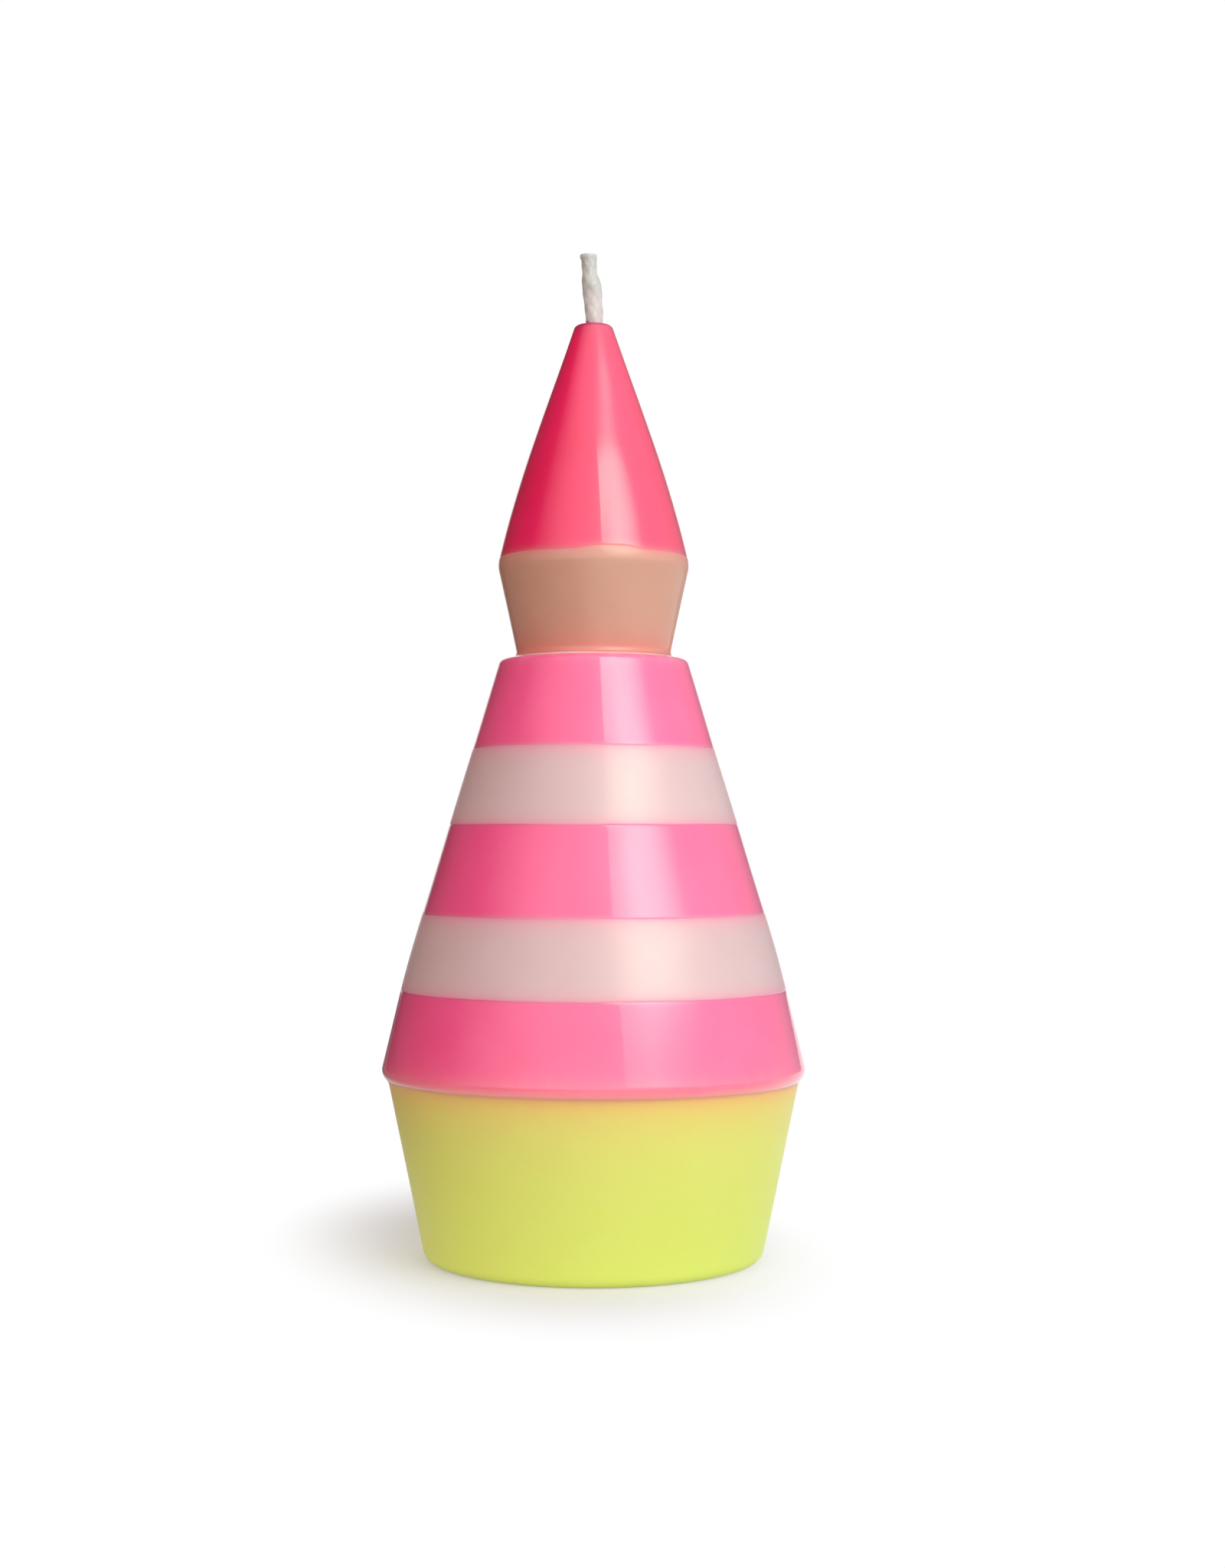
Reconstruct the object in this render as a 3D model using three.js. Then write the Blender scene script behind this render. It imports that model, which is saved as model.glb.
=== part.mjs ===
// A layered cone candle: eight pours of coloured wax, one on another, round a braided cotton wick
// that stands in a pressed steel sustainer under the base.
// Millimetres, +Z up. The origin is the centre of the flat foot that the candle stands on.
import * as THREE from 'three';

// Driving dimensions of the mould's outline, to its sharp corners, from the foot up. The crease is
// where the base meets the rim's underside, and each rise is counted from the corner below it.
const footRadius = 27.9;
const creaseRadius = 33.95;
const rimOverhang = 1.25;
const kneeRadius = 30.95;
const shoulderRadius = 15.5;
const ledgeWidth = 2.95;
const ridgeRadius = 15.9;
const bellyRadius = 13.2;
const tipRadius = 3.05;
const creaseHeight = 29.55;
const rimRise = 1.55;
const kneeRise = 17.8;
const shoulderRise = 50.55;
const ridgeRise = 15.55;
const bellyRise = 11.3;
const tipRise = 28.7;

// Radii of the arcs that round those corners off
const footRound = 2.3;
const creaseRound = 1.5;
const rimRound = 2;
const kneeRound = 220;
const shoulderRound = 1.2;
const neckRound = 1.2;
const ridgeRound = 5;
const bellyRound = 170;
const tipRound = 1;

// Driving dimensions of the pours
const basePourAboveCrease = 0.45;
const pinkPour = 14.7;
const whitePour = 12.6;
const neckPourAboveLedge = 0.35;
const hatPourAboveRidge = 1.5;
const sinkLand = 4;
const sinkDepth = 1.6;

// Driving dimensions of the wick and its sustainer
const wickRadius = 1.5;
const wickWaist = 1.22;
const wickCutRadius = 1.34;
const wickExposed = 11.75;
const wickLean = 0.9;
const waistFrom = 0.4;
const waistTo = 0.75;
const flareFrom = 0.8;
const sustainerRadius = 10;
const sustainerSheet = 0.35;
const sustainerSetback = 0.5;
const collarHeight = 6;
const collarWall = 0.35;
const collarRoot = 0.6;
const crimpHeight = 1.6;

// Clearances
const wickClearance = 0.3;
const pourClearance = 0.3;
const sustainerClearance = 0.3;
const crimpClearance = 0.12;

// Fineness of the facets
const waxFacets = 64;
const steelFacets = 32;
const wickFacets = 16;
const wickRings = 12;
const sinkSteps = 2;
const rootSteps = 3;
const arcSag = 0.035;
const hair = 1e-6;

// Heights and radii that follow
const rimRadius = creaseRadius + rimOverhang;
const neckRadius = shoulderRadius - ledgeWidth;
const rimHeight = creaseHeight + rimRise;
const kneeHeight = rimHeight + kneeRise;
const shoulderHeight = kneeHeight + shoulderRise;
const ridgeHeight = shoulderHeight + ridgeRise;
const bellyHeight = ridgeHeight + bellyRise;
const waxHeight = bellyHeight + tipRise;
const boreRadius = wickRadius + wickClearance;
const crimpBore = wickRadius + crimpClearance;
const collarRadius = boreRadius + collarWall;
const recessDepth = sustainerSetback + sustainerSheet;

// What each wax is dyed with, and how it comes out of the mould
const wax = {
  coral: { color: 0xfa5e7c, roughness: 0.26, metalness: 0 },
  beige: { color: 0xcd9a84, roughness: 0.34, metalness: 0 },
  pink: { color: 0xfd7da7, roughness: 0.26, metalness: 0 },
  white: { color: 0xe8cbc8, roughness: 0.28, metalness: 0 },
  lime: { color: 0xdcdd70, roughness: 0.34, metalness: 0 },
};
const cotton = { color: 0xcfcfc8, roughness: 0.85, metalness: 0 };
const tinnedSteel = { color: 0xc6c8ca, roughness: 0.38, metalness: 1 };

function smooth(t) {
  const s = THREE.MathUtils.clamp(t, 0, 1);
  return s * s * (3 - 2 * s);
}

// The mould's outline from the centre of the foot up to the centre of the tip
function mouldCorners() {
  return [
    { r: 0, z: 0, round: 0 },
    { r: footRadius, z: 0, round: footRound },
    { r: creaseRadius, z: creaseHeight, round: creaseRound },
    { r: rimRadius, z: rimHeight, round: rimRound },
    { r: kneeRadius, z: kneeHeight, round: kneeRound },
    { r: shoulderRadius, z: shoulderHeight, round: shoulderRound },
    { r: neckRadius, z: shoulderHeight, round: neckRound },
    { r: ridgeRadius, z: ridgeHeight, round: ridgeRound },
    { r: bellyRadius, z: bellyHeight, round: bellyRound },
    { r: tipRadius, z: waxHeight, round: tipRound },
    { r: 0, z: waxHeight, round: 0 },
  ];
}

// The angle by which the outline turns at a corner
function turnAt(before, corner, after) {
  const arriving = corner.clone().sub(before);
  const leaving = after.clone().sub(corner);
  return Math.atan2(arriving.cross(leaving), arriving.dot(leaving));
}

// How far each corner's arc reaches along its sides. Two arcs on one short side share it.
function cornerReaches(points, rounds) {
  const wanted = points.map((point, i) => {
    if (rounds[i] === 0) return 0;
    const turn = Math.abs(turnAt(points[i - 1], point, points[i + 1]));
    return rounds[i] * Math.tan(turn / 2);
  });
  const shareOfSide = (i, j) => {
    const side = points[i].distanceTo(points[j]);
    return Math.min(1, side / (wanted[i] + wanted[j]));
  };
  return wanted.map((reach, i) => {
    if (reach === 0) return 0;
    return reach * Math.min(shareOfSide(i, i - 1), shareOfSide(i, i + 1));
  });
}

// The arc that touches both sides of a corner at the given reach
function cornerArc(before, corner, after, reach) {
  const turn = turnAt(before, corner, after);
  const radius = reach / Math.tan(Math.abs(turn) / 2);
  const arriving = corner.clone().sub(before).normalize();
  const leaving = after.clone().sub(corner).normalize();
  const start = corner.clone().addScaledVector(arriving, -reach);
  const end = corner.clone().addScaledVector(leaving, reach);
  const side = Math.sign(turn);
  const centre = start.clone().add(new THREE.Vector2(-arriving.y, arriving.x).multiplyScalar(side * radius));
  const widestStep = 2 * Math.acos(1 - Math.min(arcSag / radius, 1));
  const steps = Math.ceil(Math.abs(turn) / widestStep);
  const arc = [start];
  for (let i = 1; i < steps; i += 1) {
    arc.push(start.clone().rotateAround(centre, (turn * i) / steps));
  }
  arc.push(end);
  return arc;
}

function roundedOutline(corners) {
  const points = corners.map((corner) => new THREE.Vector2(corner.r, corner.z));
  const reaches = cornerReaches(points, corners.map((corner) => corner.round));
  return points.flatMap((point, i) => {
    if (reaches[i] === 0) return [point];
    return cornerArc(points[i - 1], point, points[i + 1], reaches[i]);
  });
}

const outline = roundedOutline(mouldCorners());

function pointAtHeight(below, above, height) {
  const rise = above.y - below.y;
  if (rise < hair) return above.clone();
  return new THREE.Vector2(THREE.MathUtils.mapLinear(height, below.y, above.y, below.x, above.x), height);
}

// The stretch of the mould's outline between two heights, from the lower to the upper
function mouldBetween(low, high) {
  const start = outline.findLastIndex((point) => point.y <= low + hair);
  const end = outline.findIndex((point) => point.y >= high - hair);
  const first = pointAtHeight(outline[start], outline[start + 1], low);
  const last = pointAtHeight(outline[end - 1], outline[end], high);
  const inside = outline.slice(start + 1, end).filter((point) => point.y > low + hair);
  return [first, ...inside, last];
}

// A cooling pour sinks round the wick and leaves a shallow dish, which the next pour fills.
// The points run from the flat land at the mould's wall in to the wick's bore.
function sunkFace(height, edgeRadius, depth) {
  const dishRadius = Math.max(edgeRadius - sinkLand, (edgeRadius + boreRadius) / 2);
  const face = [];
  for (let i = 0; i <= sinkSteps; i += 1) {
    const r = THREE.MathUtils.lerp(dishRadius, boreRadius, i / sinkSteps);
    const across = (r - boreRadius) / (dishRadius - boreRadius);
    face.push(new THREE.Vector2(r, height + depth * (1 - across * across)));
  }
  return face;
}

// A revolved body, its profile running up outside and down inside
function revolve(profile, facets) {
  const closed = profile[0].x === 0 ? profile : [...profile, profile[0].clone()];
  return new THREE.LatheGeometry(closed, facets).rotateX(Math.PI / 2);
}

// One pour between two others: it fills the dish of the pour above and is dished below itself
function middlePour(low, high) {
  const wall = mouldBetween(low, high);
  const top = sunkFace(high, wall.at(-1).x, sinkDepth - pourClearance);
  const bottom = sunkFace(low, wall[0].x, sinkDepth).reverse();
  return revolve([...wall, ...top, ...bottom], waxFacets);
}

// The first pour fills the mould's tip, so its top is the mould's own flat end
function hatPour(low) {
  const wall = mouldBetween(low, waxHeight);
  const mouth = new THREE.Vector2(boreRadius, waxHeight);
  const bottom = sunkFace(low, wall[0].x, sinkDepth).reverse();
  return revolve([...wall, mouth, ...bottom], waxFacets);
}

// The last pour is levelled flat to stand on, with a recess and a wider bore for the sustainer
function footPour(high) {
  const wall = mouldBetween(0, high);
  const top = sunkFace(high, wall.at(-1).x, sinkDepth - pourClearance);
  const collarRoom = collarRadius + collarRoot + sustainerClearance;
  const collarRoof = sustainerSetback + collarHeight + sustainerClearance;
  const recessRadius = sustainerRadius + sustainerClearance;
  const hollow = [
    new THREE.Vector2(boreRadius, collarRoof),
    new THREE.Vector2(collarRoom, collarRoof),
    new THREE.Vector2(collarRoom, recessDepth),
    new THREE.Vector2(recessRadius, recessDepth),
    new THREE.Vector2(recessRadius, 0),
  ];
  return revolve([...wall, ...top, ...hollow], waxFacets);
}

// A disc with a collar drawn up from it, crimped on the wick near the collar's top
function sustainer() {
  const floor = sustainerSetback;
  const face = floor + sustainerSheet;
  const top = floor + collarHeight;
  const crimpLow = top - 2 * crimpHeight;
  const crimpMiddle = top - crimpHeight;
  const crimpRadius = crimpBore + collarWall;
  const root = new THREE.EllipseCurve(
    collarRadius + collarRoot, face + collarRoot, collarRoot, collarRoot, 1.5 * Math.PI, Math.PI, true);
  const profile = [
    new THREE.Vector2(boreRadius, floor),
    new THREE.Vector2(sustainerRadius, floor),
    new THREE.Vector2(sustainerRadius, face),
    ...root.getPoints(rootSteps),
    new THREE.Vector2(collarRadius, crimpLow),
    new THREE.Vector2(crimpRadius, crimpMiddle),
    new THREE.Vector2(collarRadius, top),
    new THREE.Vector2(boreRadius, top),
    new THREE.Vector2(crimpBore, crimpMiddle),
    new THREE.Vector2(boreRadius, crimpLow),
  ];
  return revolve(profile, steelFacets);
}

// The wick's radius at a share of its exposed length
function wickRadiusAt(share) {
  const waisting = smooth((share - waistFrom) / (waistTo - waistFrom));
  const flaring = smooth((share - flareFrom) / (1 - flareFrom));
  const waisted = THREE.MathUtils.lerp(wickRadius, wickWaist, waisting);
  return THREE.MathUtils.lerp(waisted, wickCutRadius, flaring);
}

// A round wick, straight in the wax, that leans and narrows above it and flares where it was cut
function braidedWick() {
  const top = waxHeight + wickExposed;
  const profile = [new THREE.Vector2(0, sustainerSetback), new THREE.Vector2(wickRadius, sustainerSetback)];
  for (let i = 0; i <= wickRings; i += 1) {
    const share = i / wickRings;
    profile.push(new THREE.Vector2(wickRadiusAt(share), waxHeight + share * wickExposed));
  }
  profile.push(new THREE.Vector2(0, top));
  const geometry = revolve(profile, wickFacets);
  const position = geometry.attributes.position;
  for (let i = 0; i < position.count; i += 1) {
    const share = (position.getZ(i) - waxHeight) / wickExposed;
    position.setX(i, position.getX(i) - wickLean * smooth(share));
  }
  return geometry;
}

function piece(name, geometry, finish) {
  const mesh = new THREE.Mesh(geometry, new THREE.MeshStandardMaterial(finish));
  mesh.name = name;
  return mesh;
}

// The striped body, from the base up: pink and white by turns, and pink up to the neck
const lowerPink = creaseHeight + basePourAboveCrease;
const lowerWhite = lowerPink + pinkPour;
const middlePink = lowerWhite + whitePour;
const upperWhite = middlePink + pinkPour;
const upperPink = upperWhite + whitePour;
const neckStart = shoulderHeight + neckPourAboveLedge;
const hatStart = ridgeHeight + hatPourAboveRidge;

const waxBody = new THREE.Group();
waxBody.add(
  piece('hat', hatPour(hatStart), wax.coral),
  piece('neck', middlePour(neckStart, hatStart), wax.beige),
  piece('upper_pink_band', middlePour(upperPink, neckStart), wax.pink),
  piece('upper_white_band', middlePour(upperWhite, upperPink), wax.white),
  piece('middle_pink_band', middlePour(middlePink, upperWhite), wax.pink),
  piece('lower_white_band', middlePour(lowerWhite, middlePink), wax.white),
  piece('lower_pink_band', middlePour(lowerPink, lowerWhite), wax.pink),
  piece('base', footPour(lowerPink), wax.lime),
);

const wickSet = new THREE.Group();
wickSet.add(
  piece('wick', braidedWick(), cotton),
  piece('wick_sustainer', sustainer(), tinnedSteel),
);

const candle = new THREE.Group();
candle.add(waxBody, wickSet);

export default candle;
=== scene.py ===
# %% [markdown]
# # A candle poured in coloured layers
#
# The real candle is cast upside down in a smooth cone mould. The hat is poured first and the base
# last, and each colour goes in once the one before it has skinned over, so the layers are fused
# but keep their own colour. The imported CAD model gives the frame, and every piece below stands
# where its solid stands, in metres.

# %% Load the frame
import math

import bpy
import numpy as np
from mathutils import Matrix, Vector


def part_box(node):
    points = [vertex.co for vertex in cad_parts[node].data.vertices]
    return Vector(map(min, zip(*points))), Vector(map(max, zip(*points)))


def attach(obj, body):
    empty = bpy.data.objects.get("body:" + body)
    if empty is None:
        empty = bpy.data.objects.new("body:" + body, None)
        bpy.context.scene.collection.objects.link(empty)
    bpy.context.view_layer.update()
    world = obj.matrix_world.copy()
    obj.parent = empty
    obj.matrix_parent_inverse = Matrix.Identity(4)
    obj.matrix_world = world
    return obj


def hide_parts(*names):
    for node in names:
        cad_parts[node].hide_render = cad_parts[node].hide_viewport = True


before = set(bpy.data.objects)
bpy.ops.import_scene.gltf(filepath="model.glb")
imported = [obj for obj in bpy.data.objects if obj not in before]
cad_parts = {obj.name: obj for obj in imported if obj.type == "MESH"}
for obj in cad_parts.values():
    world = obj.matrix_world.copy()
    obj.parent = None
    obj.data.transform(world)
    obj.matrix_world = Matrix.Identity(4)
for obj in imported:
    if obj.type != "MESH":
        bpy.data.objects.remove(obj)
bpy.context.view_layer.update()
MM = 0.001
print("nodes", sorted(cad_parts))

# %% [markdown]
# ## The camera
#
# The layers curve less and less towards the horizon, and that gives both the camera's height and
# its distance. It looks level at the middle of the candle from 39 cm, as for a product shot made
# with a short telephoto lens. The small shifts move the picture and not the camera, so the sides
# of the candle stay straight.

# %% Camera
CAMERA_BACK = 394.7 * MM
CAMERA_HEIGHT = 70.98 * MM
PHOTO_HEIGHT = 2048
FOCAL_PIXELS = 3100
SENSOR = 36
AXIS_LEFT_OF_MIDDLE = 24.7
HORIZON_BELOW_MIDDLE = 61

camera_data = bpy.data.cameras.new("camera")
camera_data.sensor_fit = "VERTICAL"
camera_data.sensor_height = SENSOR
camera_data.lens = SENSOR * FOCAL_PIXELS / PHOTO_HEIGHT
camera_data.shift_x = AXIS_LEFT_OF_MIDDLE / PHOTO_HEIGHT
camera_data.shift_y = HORIZON_BELOW_MIDDLE / PHOTO_HEIGHT
camera = bpy.data.objects.new("camera", camera_data)
camera.location = (0, -CAMERA_BACK, CAMERA_HEIGHT)
camera.rotation_euler = (math.pi / 2, 0, 0)
bpy.context.scene.collection.objects.link(camera)
bpy.context.scene.camera = camera
print("lens", round(camera_data.lens, 2), "mm")

# %% [markdown]
# ## The mould's outline
#
# All the wax takes its shape from one turned mould, so one outline serves every layer. It could
# be drawn as a curve and spun with a Screw modifier, but the layers have to end on wavy lines,
# and for that each point of the outline is found by its distance along the wall. The corners
# are the CAD model's own, in millimetres, and the arcs that round them are finer here.

# %% Corners of the mould
FOOT_RADIUS = 27.9
CREASE_RADIUS = 33.95
CREASE_HEIGHT = 29.55
RIM_RADIUS = 35.2
RIM_HEIGHT = 31.1
KNEE_RADIUS = 30.95
KNEE_HEIGHT = 48.9
SHOULDER_RADIUS = 15.5
LEDGE_HEIGHT = 99.45
NECK_RADIUS = 12.55
RIDGE_RADIUS = 15.9
RIDGE_HEIGHT = 115
BELLY_RADIUS = 13.2
BELLY_HEIGHT = 126.3
TIP_RADIUS = 3.05
WAX_HEIGHT = 155

mould_corners = [  # radius, height, and the radius of the arc that rounds the corner
    (0, 0, 0),
    (FOOT_RADIUS, 0, 2.3),
    (CREASE_RADIUS, CREASE_HEIGHT, 1.5),
    (RIM_RADIUS, RIM_HEIGHT, 2),
    (KNEE_RADIUS, KNEE_HEIGHT, 220),
    (SHOULDER_RADIUS, LEDGE_HEIGHT, 1.2),
    (NECK_RADIUS, LEDGE_HEIGHT, 1.2),
    (RIDGE_RADIUS, RIDGE_HEIGHT, 5),
    (BELLY_RADIUS, BELLY_HEIGHT, 170),
    (TIP_RADIUS, WAX_HEIGHT, 1),
    (0, WAX_HEIGHT, 0),
]
print(len(mould_corners), "corners up to", WAX_HEIGHT, "mm")

# %% Round the corners
ARC_SAG = 0.002   # how far a chord may cut inside its arc


def rounded(corners):
    """The outline through the corners, each replaced by an arc that touches both its sides"""
    points = np.array([corner[:2] for corner in corners], float)
    sides = np.diff(points, axis=0)
    lengths = np.hypot(*sides.T)
    along = sides / lengths[:, None]
    cross = along[:-1, 0] * along[1:, 1] - along[:-1, 1] * along[1:, 0]
    turn = np.arctan2(cross, (along[:-1] * along[1:]).sum(1))
    wanted = np.zeros(len(points))
    wanted[1:-1] = [c[2] for c in corners[1:-1]] * np.tan(np.abs(turn) / 2)
    share = np.minimum(1, lengths / np.maximum(wanted[:-1] + wanted[1:], 1e-9))
    reach = wanted[1:-1] * np.minimum(share[:-1], share[1:])
    path = [points[0]]
    for i, back in enumerate(reach):
        corner, angle = points[i + 1], turn[i]
        radius = back / math.tan(abs(angle) / 2)
        start = corner - along[i] * back
        inward = np.array([-along[i][1], along[i][0]]) * math.copysign(1, angle)
        steps = math.ceil(abs(angle) / (2 * math.acos(1 - min(ARC_SAG / radius, 1))))
        for step in range(steps + 1):
            swept = abs(angle) * step / steps
            forward = along[i] * radius * math.sin(swept)
            path.append(start + forward + inward * radius * (1 - math.cos(swept)))
    return np.array([*path, points[-1]])


outline = rounded(mould_corners)
outline_along = np.concatenate([[0], np.cumsum(np.hypot(*np.diff(outline, axis=0).T))])
print(len(outline), "points,", round(outline_along[-1], 2), "mm along the wall")

# %% [markdown]
# ## Stations round the candle
#
# Turned wax still isn't perfect: the wall of a soft plastic mould is a few hundredths of a
# millimetre off round, and a reflection shows it. A sum of slow waves round and up the wall gives
# that, the same for all layers, so that they stay flush.

# %% Stations round the candle, and the wall at any of them
SEGMENTS = 256
WALL_WAVER = 0.035
WAVE_LENGTHS = (18, 60)   # the shortest and longest wave up the wall
round_candle = np.arange(SEGMENTS) * (2 * math.pi / SEGMENTS)
from_front = (np.degrees(round_candle) + 90 + 180) % 360 - 180


def waver(along):
    """How far the wall is off round, in mm, at each distance along it and each station"""
    draw = np.random.default_rng(11)
    total = np.zeros(np.broadcast(along, round_candle).shape)
    for lobes in (2, 3, 4, 5, 7):
        length = draw.uniform(*WAVE_LENGTHS)
        lag = draw.uniform(0, 2 * math.pi)
        total += np.cos(lobes * round_candle + 2 * math.pi * along / length + lag) / lobes
    return WALL_WAVER * total


def wall_at(along):
    """Radius and height of the wall, in mm, for distances along it given for every station"""
    radius = np.interp(along, outline_along, outline[:, 0])
    height = np.interp(along, outline_along, outline[:, 1])
    return radius + waver(along), height


def along_at(height):
    """The distance along the wall at which it is this high"""
    return float(np.interp(height, outline[:, 1], outline_along))


print("rim out of round by", round(float(np.ptp(waver(along_at(RIM_HEIGHT)))), 3), "mm")

# %% [markdown]
# ## Where one pour meets the next
#
# A pour line follows the surface of the wax below it, which was level when it set but crept a
# little up the mould's wall. In the picture the lines of the body are almost straight, the line
# under the hat rises by half a millimetre in one wide step near the middle, and the line under
# the rim sags a little towards the sides, more at the right. Each line is kept as one distance
# along the wall per station.

# %% Heights of the pours
BASE_TOP = 30
LOWER_PINK_TOP = 44.7
LOWER_WHITE_TOP = 57.3
MIDDLE_PINK_TOP = 72
UPPER_WHITE_TOP = 84.6
UPPER_PINK_TOP = 99.8
NECK_TOP = 116.5
BASE_LINE_HEIGHT = 30.15   # at the wall these two lines aren't quite as high as the face inside
HAT_LINE_HEIGHT = 116.2
STEP_RISE = 0.6
STEP_FROM_FRONT = 11
STEP_WIDTH = 17
SIDE_SAG = 0.25
RIM_LINE_TILT = 0.2
print("base", BASE_TOP, "mm high, hat", WAX_HEIGHT - NECK_TOP, "mm high")


# %% Pour lines
def ripple(seed, waves):
    """Whole numbers of waves round the candle, added up, between -1 and 1"""
    draw = np.random.default_rng(seed)
    total = sum(np.cos(n * round_candle + draw.uniform(0, 2 * math.pi)) / n**0.5 for n in waves)
    return total / np.abs(total).max()


def pour_line(height, unevenness, seed, waves=(2, 3, 5, 8)):
    """A nearly level line round the wall, as distances along it"""
    return along_at(height) + unevenness * ripple(seed, waves)


hat_line = pour_line(HAT_LINE_HEIGHT, unevenness=0.1, seed=3, waves=(2, 3, 5, 7, 11))
hat_line += STEP_RISE * np.exp(-(((from_front - STEP_FROM_FRONT) / STEP_WIDTH) ** 4))
neck_line = pour_line(UPPER_PINK_TOP, unevenness=0.08, seed=5)
upper_pink_line = pour_line(UPPER_WHITE_TOP, unevenness=0.1, seed=7)
upper_white_line = pour_line(MIDDLE_PINK_TOP, unevenness=0.06, seed=9)
middle_pink_line = pour_line(LOWER_WHITE_TOP, unevenness=0.1, seed=12)
lower_white_line = pour_line(LOWER_PINK_TOP, unevenness=0.06, seed=14)
base_line = pour_line(BASE_LINE_HEIGHT, unevenness=0.08, seed=17)
base_line -= SIDE_SAG * (1 - np.cos(np.radians(from_front)))
base_line -= RIM_LINE_TILT * np.sin(np.radians(from_front))
for label, line in (("hat", hat_line), ("base", base_line)):
    heights = wall_at(line)[1]
    print(label, "line between", round(heights.min(), 2), "and", round(heights.max(), 2), "mm")

# %% [markdown]
# ## A pour as a mesh
#
# Each layer is a closed ring of quads: up the wall, in over the land and the dish that the
# cooling wax sank into, down the wick's bore and out again underneath. Its first and last rows
# follow the pour lines. Where two pours meet, the wax shrinks away from the mould by a few
# hundredths of a millimetre, which is what draws the fine line between two colours. The joint
# under the rim was rubbed flush, so it has no such groove. Every wall point also keeps how far
# it is from the lines below and above, for the colour to bleed by.

# %% Wall of a pour
EDGE_OFFSETS = np.array([0, 0.08, 0.18, 0.32, 0.55, 0.9])
EDGE_SHRINK = np.array([0.05, 0.03, 0.012, 0.003, 0, 0])
STATION_GAP = 0.9
CLOSEST_ROWS = 0.02
CLEAR_OF_EDGE = 0.1
FAR = 99   # a distance that no bleed reaches


def wall_rows(low, high, low_seam=1, high_seam=1):
    """Rows of the wall between two lines: radius, height, and distance from both lines"""
    fixed = np.unique(np.concatenate([
        np.arange(0, outline_along[-1], STATION_GAP), outline_along]))
    clear = EDGE_OFFSETS[-1] + CLEAR_OF_EDGE
    fixed = fixed[(fixed > low.max() + clear) & (fixed < high.min() - clear)]
    fixed = fixed[np.concatenate([[True], np.diff(fixed) > CLOSEST_ROWS])]
    rows = [low + offset for offset in EDGE_OFFSETS]
    rows += [np.full(SEGMENTS, along) for along in fixed]
    rows += [high - offset for offset in EDGE_OFFSETS[::-1]]
    along = np.array(rows)
    radius, height = wall_at(along)
    for edge, seam in ((low, low_seam), (high, high_seam)):
        radius -= seam * np.interp(np.abs(along - edge), EDGE_OFFSETS, EDGE_SHRINK)
    return radius, height, along - low, high - along


print("grooves", EDGE_SHRINK[0], "mm deep")


# %% Closed ring of quads
def quads_between(row, next_row, columns):
    """Quads from the rows of points that start at these indices to the next rows"""
    here = np.arange(columns)[None]
    after = np.roll(here, -1, axis=1)
    quads = np.stack([row + here, row + after, next_row + after, next_row + here], axis=-1)
    return quads.reshape(-1, 4).tolist()


def ring_mesh(name, radius, height, **painted):
    """A revolved mesh from closed rows of points, with painted values kept on its points"""
    across, up = np.cos(round_candle), np.sin(round_candle)
    points = np.stack([radius * across, radius * up, height], axis=-1).reshape(-1, 3)
    row = np.arange(len(radius))[:, None] * SEGMENTS
    quads = quads_between(row, np.roll(row, -1, axis=0), SEGMENTS)
    mesh = bpy.data.meshes.new(name)
    mesh.from_pydata((points * MM).tolist(), [], quads)
    for label, values in painted.items():
        values = np.asarray(values, np.float32)
        mesh.attributes.new(label, "FLOAT", "POINT").data.foreach_set("value", values.ravel())
    return mesh


def add_piece(mesh, node, sharper_than=35):
    """Puts a mesh in the scene in place of a CAD node, smooth except at its sharp edges"""
    mesh.polygons.foreach_set("use_smooth", [True] * len(mesh.polygons))
    mesh.set_sharp_from_angle(angle=math.radians(sharper_than))
    piece = bpy.data.objects.new(mesh.name, mesh)
    bpy.context.scene.collection.objects.link(piece)
    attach(piece, "root")
    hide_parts(node)
    gaps = [(a - b) / MM for p, q in zip(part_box(node), (np.min, np.max))
            for a, b in zip(p, q(np.array([v.co for v in mesh.vertices]), axis=0))]
    print(mesh.name, len(mesh.polygons), "faces, off its solid's box by at most",
          round(max(map(abs, gaps)), 2), "mm")
    return piece


# %% The faces inside
BORE_RADIUS = 1.8
LAND = 4
DISH_DEPTH = 1.6
POUR_GAP = 0.3
DISH_STEPS = 8


def dish(height, edge_radius, depth):
    """The sunk face of a pour, from the flat land at the wall in to the bore"""
    dish_radius = max(edge_radius - LAND, (edge_radius + BORE_RADIUS) / 2)
    across = np.linspace(1, 0, DISH_STEPS + 1)
    radius = BORE_RADIUS + across * (dish_radius - BORE_RADIUS)
    return np.stack([radius, height + depth * (1 - across**2)], axis=-1)


def close_pour(node, wall, inside, tip_rows=0):
    """A layer from its wall and its inside, whose first rows can belong to the hat's tip"""
    radius, height, above_low, below_high = wall
    hidden = np.full((len(inside), SEGMENTS), FAR)
    # the collar's rows get no distance, so the painted shade of the tip covers them fully
    tip = hidden.copy()
    tip[:tip_rows] = 0
    mesh = ring_mesh(
        node + "_wax",
        np.concatenate([radius, np.repeat(inside[:, :1], SEGMENTS, axis=1)]),
        np.concatenate([height, np.repeat(inside[:, 1:], SEGMENTS, axis=1)]),
        above_line=np.concatenate([above_low, hidden]),
        below_line=np.concatenate([below_high, tip]),
    )
    return add_piece(mesh, node)


def pour(node, lines, faces, low_seam=1, high_seam=1):
    """One pour between two others, given the lines and the heights of the faces at its ends"""
    wall = wall_rows(*lines, low_seam, high_seam)
    radius = wall[0]
    top = dish(faces[1], radius[-1].mean(), DISH_DEPTH - POUR_GAP)
    bottom = dish(faces[0], radius[0].mean(), DISH_DEPTH)[::-1]
    return close_pour(node, wall, np.concatenate([top, bottom]))


print("dishes", DISH_DEPTH, "mm deep")

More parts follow.
